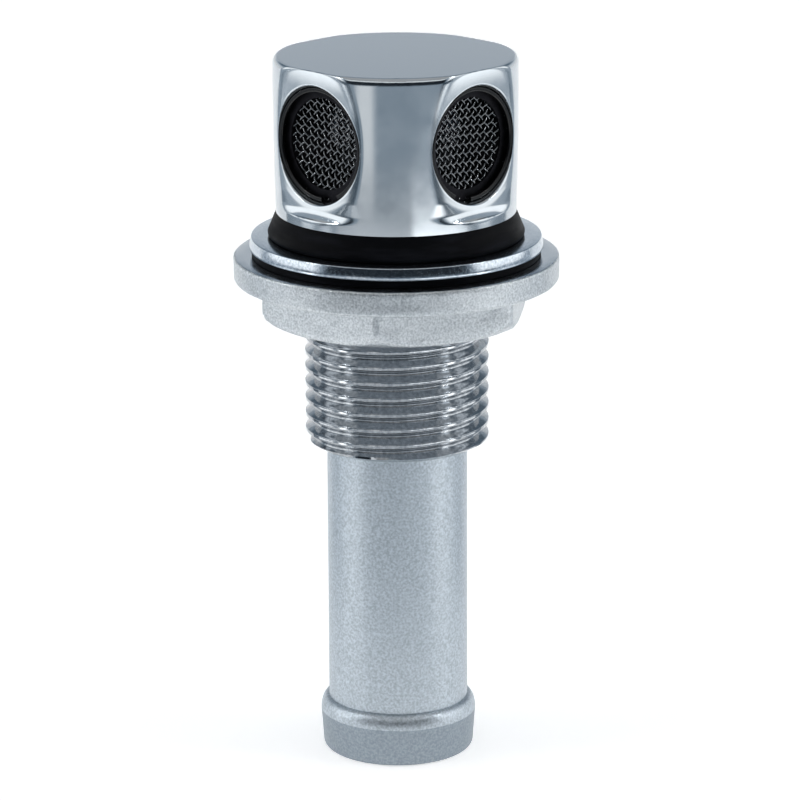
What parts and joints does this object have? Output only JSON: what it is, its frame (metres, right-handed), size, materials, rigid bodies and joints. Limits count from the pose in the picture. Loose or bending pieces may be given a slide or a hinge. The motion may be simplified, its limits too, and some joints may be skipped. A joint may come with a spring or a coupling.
{
  "type": "fuel tank vent",
  "caption": "Upright fuel tank vent: a polished round head with screened side ports, a threaded shank with gaskets, washer and flange nut, and a hose tail.",
  "frame": {"origin": "on the shank's axis, in the plane of the hull's outer face, which is the hull gasket's underside", "axes": "+Z along the shank towards the head; +X and +Y along two of the port axes"},
  "size_m": [0.037, 0.037, 0.0814],
  "materials": {
    "cast_metal": "polished head, blasted tail",
    "screen_wire": "bright drawn wire",
    "ring_steel": "dark spring steel",
    "black_rubber": "moulded, satin",
    "washer_steel": "bright",
    "nut_metal": "cast and blasted"
  },
  "bodies": {
    "vent": {"vent_body": "cast_metal", "port_screen_1": "screen_wire", "port_screen_2": "screen_wire", "port_screen_3": "screen_wire", "port_screen_4": "screen_wire", "screen_ring_1": "ring_steel", "screen_ring_2": "ring_steel", "screen_ring_3": "ring_steel", "screen_ring_4": "ring_steel", "hull_gasket": "black_rubber"},
    "washers": {"backing_washer": "washer_steel", "nut_gasket": "black_rubber"},
    "nut": {"flange_nut": "nut_metal"}
  },
  "joints": [
    {"name": "clamp_travel", "type": "slide", "parent": "vent", "child": "washers", "axis": [0, 0, -1], "range_m": [0, 0.0127]},
    {"name": "nut_turn", "type": "hinge", "parent": "washers", "child": "nut", "pos_m": [0, 0, -0.0097], "axis": [0, 0, -1], "range_deg": [0, 2520]}
  ],
  "couplings": [
    {"joint": "clamp_travel", "follows": "nut_turn", "m_per_rad": 0.00028875}
  ]
}
